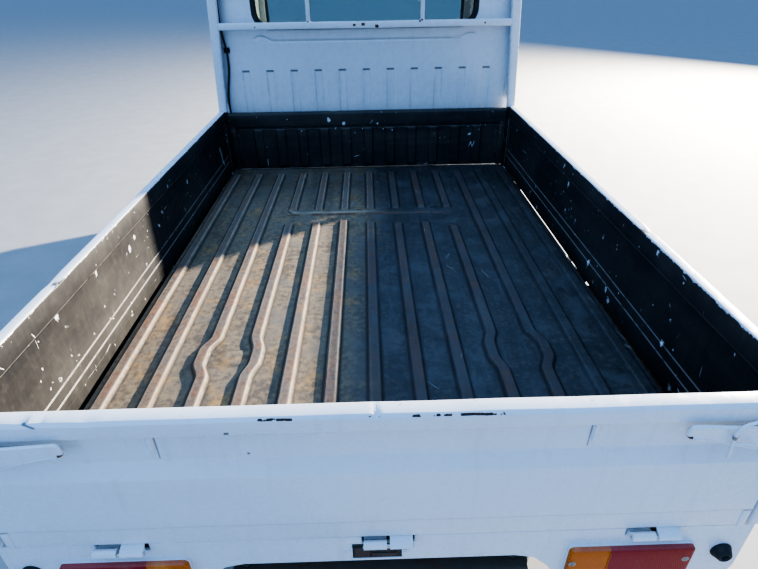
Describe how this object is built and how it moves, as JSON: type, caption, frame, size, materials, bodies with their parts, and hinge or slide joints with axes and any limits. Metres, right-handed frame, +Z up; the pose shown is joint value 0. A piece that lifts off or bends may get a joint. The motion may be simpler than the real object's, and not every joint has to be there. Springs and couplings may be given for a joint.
{
  "type": "drop-side mini truck",
  "caption": "Small cab-over pickup truck with a ribbed drop-side load bed, guard frame behind the cab, hinged doors, folding gates, steered front wheels and leaf-sprung rear axle.",
  "frame": {"origin": "on the ground below the middle of the overall box (length, width over the mirrors)", "axes": "+X to the vehicle's right, +Y forward, +Z up"},
  "size_m": [1.66, 3.295, 1.7449],
  "materials": {
    "body_white": "aged white enamel, chips and rust specks",
    "bed_black": "worn black bed paint with rust and dust",
    "chassis_black": "matt underbody black, dusty",
    "rim_paint": "silver wheel paint, dusty",
    "cast_metal": "rough casting, light rust",
    "exhaust_steel": "oxidised steel",
    "glass": "clear, slightly green",
    "lamp_lens": "red and amber ribbed lens",
    "lamp_clear": "clear ribbed lens",
    "rubber": "matt black rubber",
    "tyre": "dusty tread rubber",
    "bumper_plastic": "grained black plastic",
    "interior_plastic": "grained dark grey plastic",
    "seat_vinyl": "grained vinyl with sewn channels"
  },
  "bodies": {
    "chassis": {"ladder_frame": "chassis_black", "bed_sills": "body_white", "bed_floor": "bed_black", "bed_headboard": "bed_black", "guard_frame": "body_white", "rear_panel": "body_white", "tail_lamps": "lamp_lens", "bump_stops": "rubber", "gate_hinges": "body_white", "cab_floor": "chassis_black", "cab_front_panel": "body_white", "cab_rear_wall": "body_white", "cab_roof": "body_white", "cab_side_left": "body_white", "cab_side_right": "body_white", "windscreen": "glass", "rear_window": "glass", "dashboard": "interior_plastic", "seats": "seat_vinyl", "steering_wheel": "interior_plastic", "front_bumper": "bumper_plastic", "front_lamps": "lamp_clear", "engine_block": "cast_metal", "fuel_tank": "chassis_black", "exhaust": "exhaust_steel", "rear_axle": "cast_metal", "propshaft": "exhaust_steel", "leaf_springs": "chassis_black", "front_crossmember": "chassis_black", "lower_arms": "chassis_black", "front_struts": "chassis_black", "steering_rack": "cast_metal", "tow_eyes": "chassis_black", "cab_cable": "rubber", "cable_clips": "rubber"},
    "door_left": {"door_left": "body_white", "door_glass_left": "glass", "mirror_left": "bumper_plastic"},
    "side_gate_left": {"side_gate_left": "body_white"},
    "knuckle_left": {"knuckle_left": "cast_metal"},
    "wheel_front_left": {"rim_front_left": "rim_paint", "tyre_front_left": "tyre"},
    "wheel_rear_left": {"rim_rear_left": "rim_paint", "tyre_rear_left": "tyre"},
    "door_right": {"door_right": "body_white", "door_glass_right": "glass", "mirror_right": "bumper_plastic"},
    "side_gate_right": {"side_gate_right": "body_white"},
    "knuckle_right": {"knuckle_right": "cast_metal"},
    "wheel_front_right": {"rim_front_right": "rim_paint", "tyre_front_right": "tyre"},
    "wheel_rear_right": {"rim_rear_right": "rim_paint", "tyre_rear_right": "tyre"},
    "tailgate": {"tailgate": "body_white", "tailgate_latches": "body_white"}
  },
  "joints": [
    {"name": "steer_left", "type": "hinge", "parent": "chassis", "child": "knuckle_left", "pos_m": [-0.53, 0.987, 0.27], "axis": [0, 0, 1], "range_deg": [-33, 33]},
    {"name": "wheel_front_left_spin", "type": "hinge", "parent": "knuckle_left", "child": "wheel_front_left", "pos_m": [-0.6025, 0.987, 0.27], "axis": [1, 0, 0], "continuous": true},
    {"name": "wheel_rear_left_spin", "type": "hinge", "parent": "chassis", "child": "wheel_rear_left", "pos_m": [-0.6025, -0.853, 0.27], "axis": [1, 0, 0], "continuous": true},
    {"name": "door_left_hinge", "type": "hinge", "parent": "chassis", "child": "door_left", "pos_m": [-0.69, 1.454, 0.8], "axis": [0, 0, -1], "range_deg": [0, 65]},
    {"name": "side_gate_left_drop", "type": "hinge", "parent": "chassis", "child": "side_gate_left", "pos_m": [-0.6895, -0.62, 0.634], "axis": [0, -1, 0], "range_deg": [0, 176]},
    {"name": "steer_right", "type": "hinge", "parent": "chassis", "child": "knuckle_right", "pos_m": [0.53, 0.987, 0.27], "axis": [0, 0, 1], "range_deg": [-33, 33]},
    {"name": "wheel_front_right_spin", "type": "hinge", "parent": "knuckle_right", "child": "wheel_front_right", "pos_m": [0.6025, 0.987, 0.27], "axis": [1, 0, 0], "continuous": true},
    {"name": "wheel_rear_right_spin", "type": "hinge", "parent": "chassis", "child": "wheel_rear_right", "pos_m": [0.6025, -0.853, 0.27], "axis": [1, 0, 0], "continuous": true},
    {"name": "door_right_hinge", "type": "hinge", "parent": "chassis", "child": "door_right", "pos_m": [0.69, 1.454, 0.8], "axis": [0, 0, 1], "range_deg": [0, 65]},
    {"name": "side_gate_right_drop", "type": "hinge", "parent": "chassis", "child": "side_gate_right", "pos_m": [0.6895, -0.62, 0.634], "axis": [0, 1, 0], "range_deg": [0, 176]},
    {"name": "tailgate_drop", "type": "hinge", "parent": "chassis", "child": "tailgate", "pos_m": [0, -1.627, 0.633], "axis": [1, 0, 0], "range_deg": [0, 170]}
  ],
  "couplings": [
    {"joint": "steer_right", "follows": "steer_left", "ratio": 1}
  ]
}
